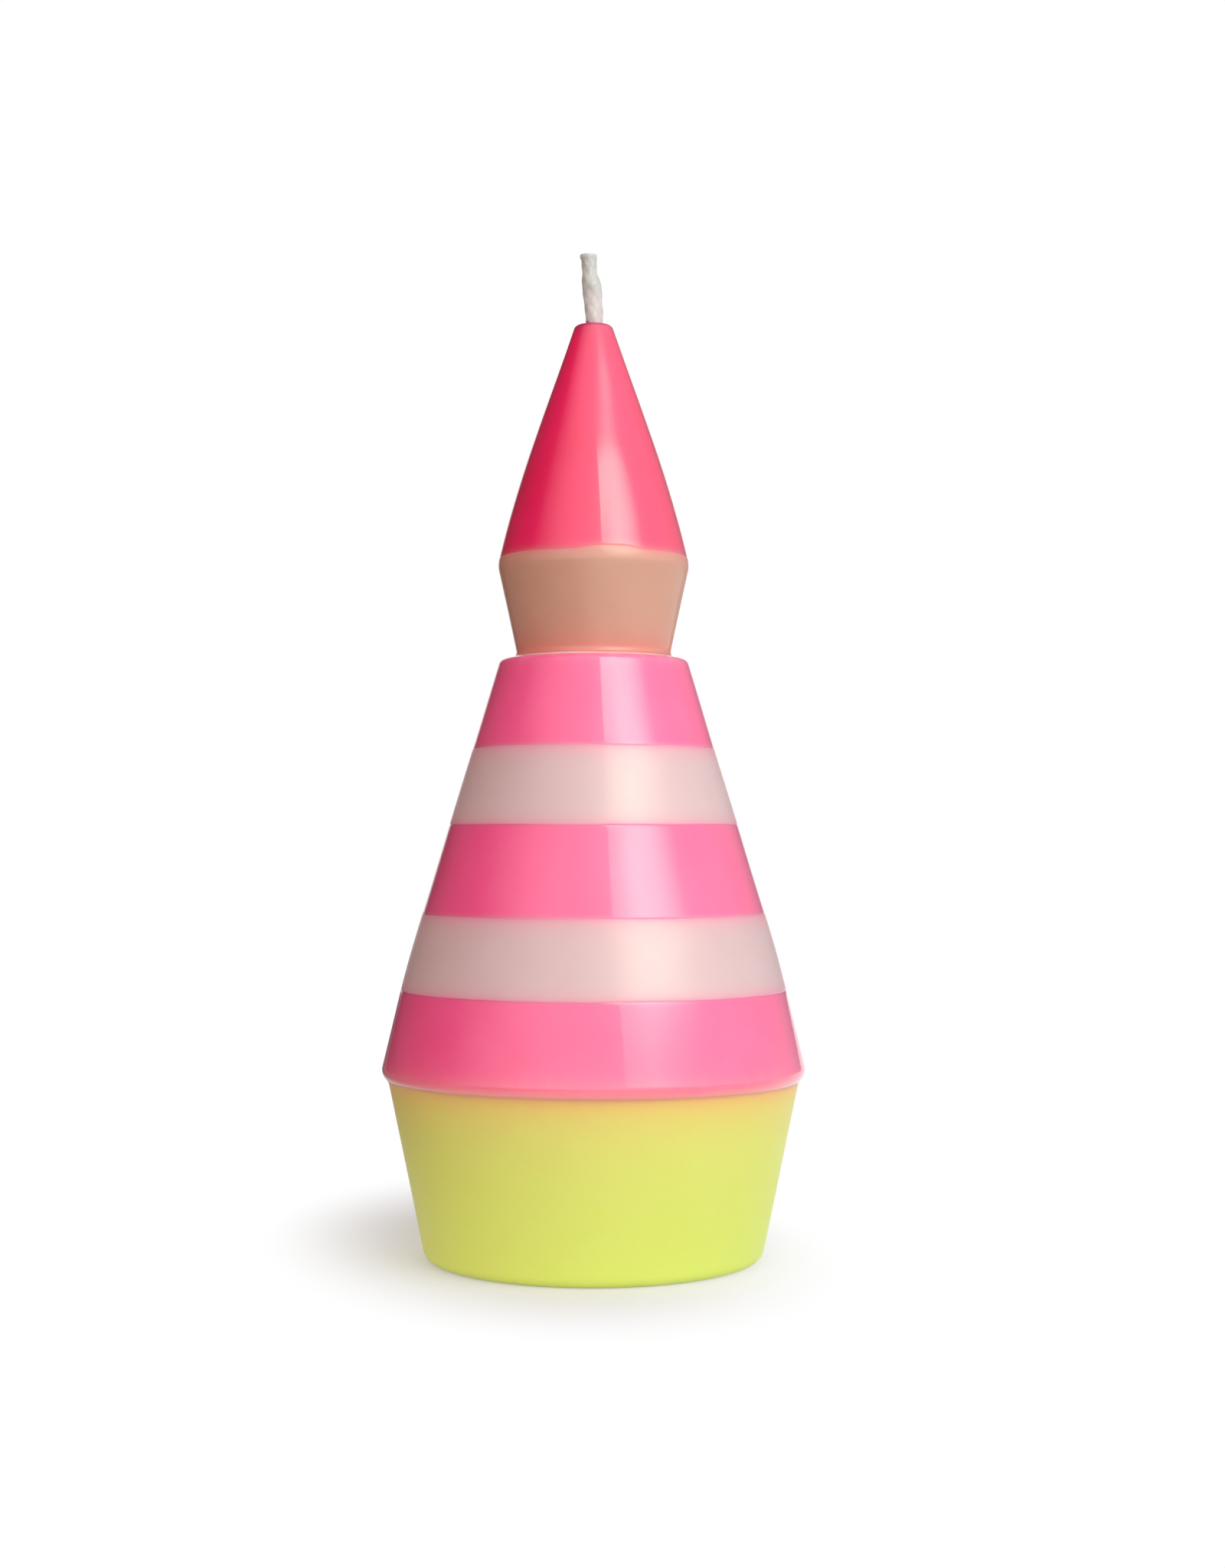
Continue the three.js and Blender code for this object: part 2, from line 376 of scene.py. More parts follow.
# %% [markdown]
# ## The five plain pours
#
# Pink and white by turns up the body, and the beige neck, which runs down into the small fillet
# at the ledge. The groove at the fillet is hardly there, because the mould is wide open at it.

# %% Pink, white and beige pours
FAINT_SEAM = 0.25
lower_pink = pour("lower_pink_band", (base_line, lower_white_line),
                  (BASE_TOP, LOWER_PINK_TOP), low_seam=0)
lower_white = pour("lower_white_band", (lower_white_line, middle_pink_line),
                   (LOWER_PINK_TOP, LOWER_WHITE_TOP))
middle_pink = pour("middle_pink_band", (middle_pink_line, upper_white_line),
                   (LOWER_WHITE_TOP, MIDDLE_PINK_TOP))
upper_white = pour("upper_white_band", (upper_white_line, upper_pink_line),
                   (MIDDLE_PINK_TOP, UPPER_WHITE_TOP))
upper_pink = pour("upper_pink_band", (upper_pink_line, neck_line),
                  (UPPER_WHITE_TOP, UPPER_PINK_TOP), high_seam=FAINT_SEAM)
neck = pour("neck", (neck_line, hat_line),
            (UPPER_PINK_TOP, NECK_TOP), low_seam=FAINT_SEAM)

# %% [markdown]
# ## The hat
#
# The first pour fills the mould's tip, so its top is the mould's own flat end with a rounded
# corner. Hot wax creeps up the wick and sets as a small collar, which closes the bore. It is
# drawn as a quarter arc that leaves the flat top level and meets the wick upright.

# %% Hat
CREEP_FOOT = 2.15
CREEP_TOP = 1.32
CREEP_HEIGHT = 0.5
CREEP_STEPS = 6
SEAL_DEPTH = 0.5
JUST_BELOW = 1e-6   # finds where the rounded corner ends and the flat top begins


def hat_pour():
    """The hat, with the collar of wax round the wick's foot"""
    on_flat = np.full(SEGMENTS, along_at(WAX_HEIGHT - JUST_BELOW))
    wall = wall_rows(hat_line, on_flat, high_seam=0)
    sweep = np.linspace(0, math.pi / 2, CREEP_STEPS + 1)
    creep = np.stack([CREEP_FOOT - (CREEP_FOOT - CREEP_TOP) * np.sin(sweep),
                      WAX_HEIGHT + CREEP_HEIGHT * (1 - np.cos(sweep))], axis=-1)
    seal = np.array([[CREEP_TOP, WAX_HEIGHT - SEAL_DEPTH],
                     [BORE_RADIUS, WAX_HEIGHT - 2 * SEAL_DEPTH]])
    bottom = dish(NECK_TOP, wall[0][0].mean(), DISH_DEPTH)[::-1]
    return close_pour("hat", wall, np.concatenate([creep, seal, bottom]), len(creep))


hat = hat_pour()

# %% [markdown]
# ## The base
#
# The last pour is levelled flat to stand on. Its underside has the round recess that the wick's
# sustainer is pressed into, with a wider bore for the sustainer's collar.

# %% Base
SUSTAINER_RADIUS = 10
SHEET = 0.35
SETBACK = 0.5
COLLAR_HEIGHT = 6
COLLAR_RADIUS = BORE_RADIUS + SHEET
COLLAR_ROOT = 0.6
SUSTAINER_GAP = 0.3
RECESS_CHAMFER = 0.15


def base_pour():
    """The base, hollowed from below for the sustainer"""
    foot = np.full(SEGMENTS, outline_along[1])
    radius, height, above_low, below_high = wall_rows(foot, base_line, low_seam=0, high_seam=0)
    room = COLLAR_RADIUS + COLLAR_ROOT + SUSTAINER_GAP
    roof = SETBACK + COLLAR_HEIGHT + SUSTAINER_GAP
    recess = SUSTAINER_RADIUS + SUSTAINER_GAP
    hollow = np.array([
        [BORE_RADIUS, roof], [room, roof], [room, SETBACK + SHEET], [recess, SETBACK + SHEET],
        [recess, RECESS_CHAMFER], [recess + RECESS_CHAMFER, 0]])
    top = dish(BASE_TOP, radius[-1].mean(), DISH_DEPTH - POUR_GAP)
    wall = radius, height, above_low + FAR, below_high
    return close_pour("base", wall, np.concatenate([top, hollow]))


base = base_pour()

# %% [markdown]
# ## The wick
#
# A pillar wick is a round braid of cotton yarns, half of them winding each way and passing over
# and under each other, soaked in wax before use. Separate strands could be swept along helices
# and fused by a voxel remesh, but a fused braid is only its outer skin, and that has a simple
# formula: a yarn is highest along its own middle and rises where it passes over. So the wick is
# one tube of rows, pushed out by that relief and by slow lumps, then leaned over as in the
# picture, where it narrows above the kink and flares where it was cut.

# %% Relief of the braid
WICK_RADIUS = 1.5
YARNS_EACH_WAY = 6
YARN_ROUNDNESS = 0.96
YARN_FUSION = 0.02
BRAID_LEAD = 15
BRAID_RELIEF = 0.075
BRAID_LIFT = 0.07
WICK_LUMPS = 0.05


def smooth(share):
    """An eased step from 0 to 1"""
    share = np.clip(share, 0, 1)
    return share * share * (3 - 2 * share)


def soft_highest(a, b, softness):
    """The higher of two, rounded where they are nearly level"""
    return softness * np.logaddexp(a / softness, b / softness)


def braid_relief(angle, height):
    """How far the yarns stand out, in mm, round the wick and up it"""
    left = YARNS_EACH_WAY * (angle + 2 * math.pi * height / BRAID_LEAD)
    right = YARNS_EACH_WAY * (angle - 2 * math.pi * height / BRAID_LEAD)
    crossing = BRAID_LIFT * np.cos(left / 2) * np.cos(right / 2)
    across = [(way + math.pi) % (2 * math.pi) / math.pi - 1 for way in (left, right)]
    over, under = [BRAID_RELIEF * np.sqrt(1 - YARN_ROUNDNESS * a**2) for a in across]
    return soft_highest(over + crossing, under - crossing, YARN_FUSION)


def wick_lumps(angle, height):
    """Slow unevenness of the wick, in mm"""
    draw = np.random.default_rng(23)
    total = 0
    for lobes in (0, 1, 2, 3):
        for wave in (9, 5.5, 3.2):
            lag = draw.uniform(0, 2 * math.pi)
            total = total + np.cos(lobes * angle + 2 * math.pi * height / wave + lag)
    return WICK_LUMPS * total / 3


print("yarns stand out", BRAID_RELIEF, "mm and rise", BRAID_LIFT, "mm where they cross")

# %% Side of the wick
WICK_EXPOSED = 11.75
wick_stations = np.array([  # height above the wax, radius, and lean towards the left, in mm
    (0, 1.43, -0.12), (1.9, 1.47, -0.08), (4.5, 1.57, 0.12), (6.5, 1.66, 0.3),
    (7.6, 1.44, 0.5), (8.6, 1.25, 0.63), (10.2, 1.26, 0.7), (11.75, 1.38, 0.8)])
SHOWN_FROM = 154      # the hidden wick below this height has no relief
CUT_FLARE_AT = 0.965  # share of the exposed length
CUT_FLARE_SPREAD = 0.03
CUT_LIP = 0.16        # how far the cut end is pressed out towards the left
CUT_SQUEEZE = 0.6     # share of the relief that the cutter flattened


def between_stations(height, column):
    """A value from the wick's stations at each height, eased from one to the next"""
    above = np.clip(height - WAX_HEIGHT, 0, WICK_EXPOSED)
    knots = wick_stations[:, 0]
    step = np.clip(np.searchsorted(knots, above, side="right") - 1, 0, len(knots) - 2)
    share = (above - knots[step]) / (knots[step + 1] - knots[step])
    low, high = wick_stations[step, column], wick_stations[step + 1, column]
    return low + (high - low) * (0.5 * share + 0.5 * smooth(share))


def wick_side(angle, heights):
    """The wick's radius round it and up it"""
    shown = smooth(heights - SHOWN_FROM)[:, None]
    share = ((heights - WAX_HEIGHT) / WICK_EXPOSED)[:, None]
    at_cut = np.exp(-(((share - CUT_FLARE_AT) / CUT_FLARE_SPREAD) ** 2))
    relief = braid_relief(angle, heights[:, None]) - BRAID_RELIEF - BRAID_LIFT / 2
    relief = (relief + wick_lumps(angle, heights[:, None])) * (1 - CUT_SQUEEZE * at_cut)
    lip = CUT_LIP * at_cut * (0.5 + 0.5 * np.cos(angle - math.pi))
    thick = WICK_RADIUS + (between_stations(heights, 1) - WICK_RADIUS)[:, None] * shown
    return thick + shown * relief + lip


print("the cut end is", 2 * wick_stations[-1, 1], "mm across")

# %% Wick mesh
WICK_COLUMNS = 96
HIDDEN_ROWS = [SETBACK, 40, 80, 120]
CLOSE_ROWS_FROM = 153
ROW_GAP = 0.09
CUT_ROWS = 14
CUT_MIDDLE = 0.06
CUT_ROUNDING = 0.1
CUT_BOWL = 0.3
YARN_END_RISE = 0.07


def cut_end(angle, edge_radius):
    """Radius and height of the cut face, a shallow bowl in which each yarn's end stands up"""
    inward = np.linspace(1, CUT_MIDDLE, CUT_ROWS)[1:, None]
    ends = 0.5 + 0.5 * np.cos(YARNS_EACH_WAY * angle) * np.sin(math.pi * inward)
    bowl = CUT_BOWL * (1 - inward) ** 2 - YARN_END_RISE * ends
    top = WAX_HEIGHT + WICK_EXPOSED
    height = top - CUT_ROUNDING + CUT_ROUNDING * np.sqrt(1 - inward**2) - 0.5 * bowl * inward
    return edge_radius * inward, np.minimum(height, top)


def wick_mesh():
    """The whole wick, closed at both ends and leaned over above the wax"""
    angle = np.arange(WICK_COLUMNS) * (2 * math.pi / WICK_COLUMNS)
    close_rows = np.arange(CLOSE_ROWS_FROM, WAX_HEIGHT + WICK_EXPOSED, ROW_GAP)
    heights = np.concatenate([HIDDEN_ROWS, close_rows])
    side = wick_side(angle, heights)
    end, end_height = cut_end(angle, side[-1])
    radius = np.concatenate([side, end])
    height = np.concatenate([np.repeat(heights[:, None], WICK_COLUMNS, axis=1), end_height])
    leaning = between_stations(height, 2)
    points = np.stack([radius * np.cos(angle) - leaning, radius * np.sin(angle), height], axis=-1)
    row = np.arange(len(radius) - 1)[:, None] * WICK_COLUMNS
    faces = quads_between(row, row + WICK_COLUMNS, WICK_COLUMNS)
    last = (len(radius) - 1) * WICK_COLUMNS
    faces.append([last + i for i in range(WICK_COLUMNS)])
    faces.append(list(range(WICK_COLUMNS))[::-1])
    mesh = bpy.data.meshes.new("braided_wick")
    mesh.from_pydata((points.reshape(-1, 3) * MM).tolist(), [], faces)
    return mesh


wick = add_piece(wick_mesh(), "wick", sharper_than=60)

# %% [markdown]
# ## The wick's sustainer
#
# A disc of tinplate with a collar drawn up from its middle, pinched on the wick by four jaws.
# It can only be seen from below. The lathe gives all of it but the pinch, and the pinch is a
# wave of four round the collar, deepest at the height of the jaws.

# %% Outline of the sustainer
EDGE_ROUND = 0.12
LIP_ROUND = 0.08
BEAD = (6, 6.2, 6.5, 6.7)   # where the stiffening bead pressed round the disc rises and falls
BEAD_RISE = 0.06
MOUTH = [(0, 0.65), (0.08, 0.25), (0.25, 0), (1.2, 0)]   # out from the bore and up from below
DISC_FACE = SETBACK + SHEET
COLLAR_TOP = SETBACK + COLLAR_HEIGHT
COLLAR_FROM = 0.4    # above the rounded root
LIP_HEIGHT = 0.1
ROOT_STEPS = 7
COLLAR_STEPS = 16


def sustainer_outline():
    """Radius and height round the section of the disc and its collar"""
    on_bead = list(zip(BEAD, (0, BEAD_RISE, BEAD_RISE, 0)))
    flat = SUSTAINER_RADIUS - EDGE_ROUND
    path = [(BORE_RADIUS + out, SETBACK + rise) for out, rise in MOUTH]
    path += [(radius, SETBACK + rise) for radius, rise in on_bead]
    path += [(flat, SETBACK), (SUSTAINER_RADIUS, SETBACK + EDGE_ROUND)]
    path += [(SUSTAINER_RADIUS, DISC_FACE - EDGE_ROUND), (flat, DISC_FACE)]
    path += [(radius, DISC_FACE + rise) for radius, rise in on_bead[::-1]]
    path += [(COLLAR_RADIUS + COLLAR_ROOT * (1 - math.sin(angle)),
              DISC_FACE + COLLAR_ROOT * (1 - math.cos(angle)))
             for angle in np.linspace(0, math.pi / 2, ROOT_STEPS)]
    up = np.linspace(DISC_FACE + COLLAR_ROOT + COLLAR_FROM, COLLAR_TOP - LIP_HEIGHT, COLLAR_STEPS)
    path += [(COLLAR_RADIUS, height) for height in up]
    path += [(COLLAR_RADIUS - LIP_ROUND, COLLAR_TOP), (BORE_RADIUS + LIP_ROUND, COLLAR_TOP)]
    path += [(BORE_RADIUS, height) for height in up[::-1]]
    return np.array(path)


print(len(sustainer_outline()), "points round the section of the sustainer")

# %% Sustainer
CRIMP_BELOW_TOP = 1.6
CRIMP_DEPTH = 0.18
CRIMP_SPREAD = 0.7
JAWS = 4
A_HAIR = 0.01


def sustainer_mesh():
    """The turned section, pinched by the jaws"""
    path = sustainer_outline()
    radius = np.repeat(path[:, :1], SEGMENTS, axis=1)
    height = np.repeat(path[:, 1:], SEGMENTS, axis=1)
    from_pinch = (height - (COLLAR_TOP - CRIMP_BELOW_TOP)) / CRIMP_SPREAD
    jaws = 0.75 + 0.25 * np.cos(JAWS * round_candle)   # half as deep between two jaws
    on_collar = radius < COLLAR_RADIUS + A_HAIR
    radius = radius - on_collar * CRIMP_DEPTH * jaws * np.exp(-(from_pinch**2))
    return ring_mesh("crimped_sustainer", radius, height)


sustainer = add_piece(sustainer_mesh(), "wick_sustainer")

# %% [markdown]
# ## Nodes and colours
#
# Colours are written as sRGB hex, as they were matched to the picture, and turned to the linear
# values that Blender's sockets take. One helper adds any node, sets it and wires it, and the
# others use it for what several materials share.

# %% Colours and nodes
def linear(colour):
    """An sRGB hex colour as linear RGBA"""
    channels = [int(colour[i:i + 2], 16) / 255 for i in (1, 3, 5)]
    return [c / 12.92 if c <= 0.04045 else ((c + 0.055) / 1.055) ** 2.4 for c in channels] + [1]


def put(tree, kind, inputs=None, **settings):
    """Adds a node: settings are its own, inputs are values or the sockets that feed it"""
    node = tree.nodes.new(kind)
    for label, value in settings.items():
        setattr(node, label, value)
    for socket, value in (inputs or {}).items():
        if isinstance(value, bpy.types.NodeSocket):
            tree.links.new(value, node.inputs[socket])
        else:
            node.inputs[socket].default_value = value
    return node


print("sRGB grey #808080 is", round(linear("#808080")[0], 3), "in linear light")

# %% What materials share
MIX_FACTOR, MIX_A, MIX_B, MIX_RESULT = 0, 6, 7, 2   # the Mix node's sockets for colours
NOISE_LOW, NOISE_HIGH = 0.3, 0.7                    # nearly all of a noise lies between these


def noise(tree, place, size, detail):
    """A noise with patches of this size in mm"""
    return put(tree, "ShaderNodeTexNoise", {
        "Vector": place, "Scale": 1 / (size * MM), "Detail": detail}).outputs[0]


def blend(tree, share, first, second):
    """A colour between two, with this share of the second"""
    return put(tree, "ShaderNodeMix", {
        MIX_FACTOR: share, MIX_A: first, MIX_B: second}, data_type="RGBA").outputs[MIX_RESULT]


def new_material(name):
    """An empty material with its Principled shader wired to the output"""
    material = bpy.data.materials.new(name)
    material.use_nodes = True
    tree = material.node_tree
    tree.nodes.clear()
    shader = put(tree, "ShaderNodeBsdfPrincipled")
    put(tree, "ShaderNodeOutputMaterial", {"Surface": shader.outputs[0]})
    return material, tree, shader


def dress(piece, material):
    """Gives a piece its material"""
    piece.data.materials.append(material)
    print(piece.name, "in", material.name, len(material.node_tree.nodes), "nodes")


# %% [markdown]
# ## Candle wax
#
# Each layer is paraffin with dye, cast against polished plastic: a hard, clear gloss with light
# scattered a few millimetres deep underneath. The eye reads three things: a sharp reflection
# with clean edges, a wide milky veil round it, and colour that bleeds across each pour line.
# The gloss is a smooth coat, the veil is the rough shine of the body under it, and the bleed is
# an exponential, as dye spreads, over the distance that every wall point keeps. Wax also shows
# faint clouds about a centimetre across, and pinholes where air was held against the mould.

# %% Dye that bleeds
BLEED_PATCH = 2.5
NEARER, FARTHER = 0.88, 1.14   # the distance from a line counts as this much of itself


# besides dye, these fades also carry the painted shade of the hat's tip and painted light and
# shade at some joints
def bled(tree, place, tone, bleeds):
    """The tone with other colours in it, each fading with the distance from its pour line"""
    uneven = put(tree, "ShaderNodeMapRange", {
        0: noise(tree, place, BLEED_PATCH, 2), 1: NOISE_LOW, 2: NOISE_HIGH,
        3: NEARER, 4: FARTHER}).outputs[0]
    for painted, colour, strength, reach in bleeds:
        distance = put(tree, "ShaderNodeAttribute", attribute_name=painted).outputs["Fac"]
        wandering = put(tree, "ShaderNodeMath", {0: distance, 1: uneven}, operation="MULTIPLY")
        decay = put(tree, "ShaderNodeMath", {
            0: wandering.outputs[0], 1: -1 / reach}, operation="MULTIPLY")
        faded = put(tree, "ShaderNodeMath", {0: decay.outputs[0]}, operation="EXPONENT")
        amount = put(tree, "ShaderNodeMath", {
            0: faded.outputs[0], 1: strength}, operation="MULTIPLY")
        tone = blend(tree, amount.outputs[0], tone, linear(colour))
    return tone


# %% Surface of cast wax
GRAIN_SIZE = 0.7   # real wax crystals are finer, drawn as coarse as the picture can show
GRAIN_DEPTH = 0.004
PINHOLE_SPACING = 3.5
PINHOLE_SIZE = 0.11
PINHOLE_DEPTH = 0.03


def cast_surface(tree, place):
    """Bumps: the pinholes alone for the gloss, and the pinholes and crystals for the body"""
    holes = put(tree, "ShaderNodeTexVoronoi", {
        "Vector": place, "Scale": 1 / (PINHOLE_SPACING * MM), "Randomness": 1})
    pits = put(tree, "ShaderNodeMapRange", {
        0: holes.outputs["Distance"], 1: 0, 2: PINHOLE_SIZE / PINHOLE_SPACING, 3: 0, 4: 1},
        interpolation_type="SMOOTHSTEP").outputs[0]
    grain = noise(tree, place, GRAIN_SIZE, 2)
    pitted = put(tree, "ShaderNodeBump", {
        "Height": pits, "Strength": 0.5, "Distance": PINHOLE_DEPTH * MM}).outputs[0]
    grainy = put(tree, "ShaderNodeBump", {
        "Height": grain, "Strength": 0.5, "Distance": GRAIN_DEPTH * MM, "Normal": pitted})
    return pitted, grainy.outputs[0]


print("pinholes", 2 * PINHOLE_SIZE, "mm wide, about", PINHOLE_SPACING, "mm apart")

# %% Wax
WAX_IOR = 1.44
CLOUD_SIZE = 9
POLISH_SIZE = 14
POLISH_RANGE = 0.05
GLOSS_ROUGHNESS = 0.05


def dyed_wax(name, colour, deep, bleeds, gloss=1.0, shine=0.5, veil=0.38,
             glow=0.25, glow_reach=(2.2, 0.8, 0.9)):
    """Wax of one dye. Each bleed is a painted distance, a colour, a strength and a reach in mm"""
    material, tree, shader = new_material(name)
    place = put(tree, "ShaderNodeTexCoord").outputs["Object"]
    body = blend(tree, noise(tree, place, CLOUD_SIZE, 3), linear(deep), linear(colour))
    shader.inputs["Base Color"].default_value = linear(colour)
    tree.links.new(bled(tree, place, body, bleeds), shader.inputs["Base Color"])
    roughness = put(tree, "ShaderNodeMapRange", {
        0: noise(tree, place, POLISH_SIZE, 4), 1: NOISE_LOW, 2: NOISE_HIGH,
        3: veil - POLISH_RANGE, 4: veil + POLISH_RANGE}).outputs[0]
    tree.links.new(roughness, shader.inputs["Roughness"])
    pitted, grainy = cast_surface(tree, place)
    tree.links.new(grainy, shader.inputs["Normal"])
    tree.links.new(pitted, shader.inputs["Coat Normal"])

    shader.inputs["IOR"].default_value = WAX_IOR
    shader.inputs["Subsurface Weight"].default_value = glow
    shader.inputs["Subsurface Radius"].default_value = glow_reach
    shader.inputs["Subsurface Scale"].default_value = MM
    shader.inputs["Specular IOR Level"].default_value = shine
    shader.inputs["Coat Weight"].default_value = gloss
    shader.inputs["Coat Roughness"].default_value = GLOSS_ROUGHNESS
    shader.inputs["Coat IOR"].default_value = WAX_IOR
    return material


# %% [markdown]
# ## The five dyes
#
# Each dye is two near tones for its clouds. Where two pours touch, the colour is neither one's
# nor a plain mix, because a neon dye glows through its neighbour, so those colours have names of
# their own. Three of them are also lightened or darkened as painted light and shade at the joints
# under the rim and at the neck's foot, and the hat's tip colour is painted shade. The glossy pours
# were cast against the mould. The white ones, the neck and the base are duller: their wax shrank
# more, and the base was wiped after it was turned out.

# %% Colours of the dyes
CORAL, CORAL_DEEP = "#EF1861", "#E60E50"
BEIGE, BEIGE_DEEP = "#C89882", "#C08D75"
PINK, PINK_DEEP = "#F96095", "#F44E87"
WHITE, WHITE_DEEP = "#D3B7B7", "#CDAFAF"
LIME, LIME_DEEP = "#D2E16C", "#CEDB60"
TIP_PAINTED_SHADE = "#86345C"               # painted shade: the hat's tip and its flat top are darkened as if they reflected a dark ceiling
CORAL_IN_BEIGE = "#EE6A7C"
# pink dye bled into the neck's foot, darkened as painted shade so the fillet there catches less
# light
PINK_BLEED_AND_FILLET_SHADE = "#DC6C66"
PALE_PINK = "#FFC2CC"         # the thin skin of wax on the ledge
# lime dye bled into the lowest pink, made paler as painted light on the shaded underside of the
# rim
LIME_BLEED_AND_RIM_LIGHT = "#FFAA94"
# pink dye bled into the top of the base, made paler as painted light where the joint under the rim
# shades it
PINK_BLEED_AND_JOINT_LIGHT = "#FFA084"
AMBER = "#E6B45E"
YELLOW = "#E2D285"
print("coral in linear light", [round(c, 3) for c in linear(CORAL)[:3]])

# %% The layers in their dyes
# the hat's tip colour is painted shade, full on the collar and flat top and fading down the wall
dress(hat, dyed_wax("coral_paraffin", CORAL, CORAL_DEEP, [
    ("above_line", BEIGE, 0.4, 0.45),
    ("below_line", TIP_PAINTED_SHADE, 0.95, 1.2)]))
dress(neck, dyed_wax("beige_paraffin", BEIGE, BEIGE_DEEP, [
    ("below_line", CORAL_IN_BEIGE, 0.6, 0.7),
    ("above_line", PINK_BLEED_AND_FILLET_SHADE, 0.72, 2.4)], gloss=0.5, veil=0.5))
# a strength above 1 keeps the whole ledge pale, and the pink returns over its edge
dress(upper_pink, dyed_wax("upper_pink_paraffin", PINK, PINK_DEEP, [
    ("above_line", WHITE, 0.35, 0.25),
    ("below_line", PALE_PINK, 6, 0.7)], gloss=0.88))
dress(middle_pink, dyed_wax("middle_pink_paraffin", PINK, PINK_DEEP, [
    ("above_line", WHITE, 0.35, 0.25)]))
dress(lower_pink, dyed_wax("lower_pink_paraffin", PINK, PINK_DEEP, [
    ("above_line", LIME_BLEED_AND_RIM_LIGHT, 0.75, 1.5)], glow=0.3))
for band, label in ((upper_white, "upper"), (lower_white, "lower")):
    dress(band, dyed_wax(f"{label}_white_paraffin", WHITE, WHITE_DEEP, [
        ("below_line", PINK, 0.5, 1.2),
        ("above_line", PINK, 0.5, 0.9)], gloss=0.2))
dress(base, dyed_wax("lime_paraffin", LIME, LIME_DEEP, [
    ("below_line", YELLOW, 0.6, 12),
    ("below_line", AMBER, 0.75, 4),
    ("below_line", PINK_BLEED_AND_JOINT_LIGHT, 0.85, 0.8)], gloss=0.1, shine=0.4, veil=0.5,
    glow=0.45, glow_reach=(3, 3, 1.5)))

# %% [markdown]
# ## Waxed cotton
#
# The wick's cotton is bleached but not dyed, and the wax that soaks it turns it from matt white
# to a smooth greyish white that light passes into. Its lower half took up a trace of the hat's
# dye, and the lowest millimetre more of it.

# %% Cotton
COTTON, COTTON_SHADE = "#C3C4C0", "#AFB0AA"
COTTON_PINKISH, COTTON_DYED = "#C9C0BE", "#E39CA2"
cotton_dye = [  # colour, strength, and the heights above the wax where it is full and gone
    (COTTON_PINKISH, 0.75, 4.3, 6.6), (COTTON_DYED, 0.08, 0.9, 2.2), (COTTON_DYED, 0.26, 0.1, 0.9)]
BLOTCH_SIZE = 1.2
YARN_FIBRE = 0.12   # cotton fibres are about 0.02 mm, drawn coarser to show
FIBRE_DEPTH = 0.02
COTTON_GLOW_REACH = 1.1


def waxed_cotton():
    """Braided cotton soaked in wax"""
    material, tree, shader = new_material("waxed_cotton")
    place = put(tree, "ShaderNodeTexCoord").outputs["Object"]
    blotch = noise(tree, place, BLOTCH_SIZE, 3)
    tone = blend(tree, blotch, linear(COTTON_SHADE), linear(COTTON))
    height = put(tree, "ShaderNodeSeparateXYZ", {0: place}).outputs[2]
    for colour, strength, full, gone in cotton_dye:
        dyed = put(tree, "ShaderNodeMapRange", {
            0: height, 1: (WAX_HEIGHT + full) * MM, 2: (WAX_HEIGHT + gone) * MM,
            3: strength, 4: 0}, interpolation_type="SMOOTHSTEP").outputs[0]
        tone = blend(tree, dyed, tone, linear(colour))
    tree.links.new(tone, shader.inputs["Base Color"])
    relief = put(tree, "ShaderNodeBump", {
        "Height": noise(tree, place, YARN_FIBRE, 3), "Strength": 0.6,
        "Distance": FIBRE_DEPTH * MM})
    tree.links.new(relief.outputs[0], shader.inputs["Normal"])
    rough = put(tree, "ShaderNodeMapRange", {
        0: blotch, 1: NOISE_LOW, 2: NOISE_HIGH, 3: 0.5, 4: 0.7}).outputs[0]
    tree.links.new(rough, shader.inputs["Roughness"])
    shader.inputs["IOR"].default_value = WAX_IOR
    shader.inputs["Subsurface Weight"].default_value = 0.6
    shader.inputs["Subsurface Radius"].default_value = [COTTON_GLOW_REACH] * 3
    shader.inputs["Subsurface Scale"].default_value = MM
    shader.inputs["Coat Weight"].default_value = 0.35
    shader.inputs["Coat Roughness"].default_value = 0.3
    shader.inputs["Coat IOR"].default_value = WAX_IOR
    return material


dress(wick, waxed_cotton())

# %% [markdown]
# ## Tinplate
#
# Thin rolled steel with a skin of tin: a soft grey metal with fine rolling lines one way and
# duller clouds where fingers and hot wax have touched it.

# %% Tin
TIN, TIN_DULL = "#C6C8CA", "#A9ACAF"
ROLLING_LINE = 0.15   # the mill's lines are finer, drawn as coarse as a close view can show
ROLLING_STRETCH = 0.04
ROLLING_DEPTH = 0.01
TOUCHED_SIZE = 3


def tinplate():
    """Rolled steel sheet with a skin of tin"""
    material, tree, shader = new_material("tinplate")
    place = put(tree, "ShaderNodeTexCoord").outputs["Object"]
    stretched = put(tree, "ShaderNodeMapping", {
        "Vector": place, "Scale": (ROLLING_STRETCH, 1, 1)}).outputs[0]
    clouds = noise(tree, place, TOUCHED_SIZE, 3)
    tone = blend(tree, clouds, linear(TIN_DULL), linear(TIN))
    tree.links.new(tone, shader.inputs["Base Color"])
    rough = put(tree, "ShaderNodeMapRange", {
        0: clouds, 1: NOISE_LOW, 2: NOISE_HIGH, 3: 0.45, 4: 0.3}).outputs[0]
    tree.links.new(rough, shader.inputs["Roughness"])
    relief = put(tree, "ShaderNodeBump", {
        "Height": noise(tree, stretched, ROLLING_LINE, 2), "Strength": 0.4,
        "Distance": ROLLING_DEPTH * MM})
    tree.links.new(relief.outputs[0], shader.inputs["Normal"])
    shader.inputs["Metallic"].default_value = 1
    return material


dress(sustainer, tinplate())

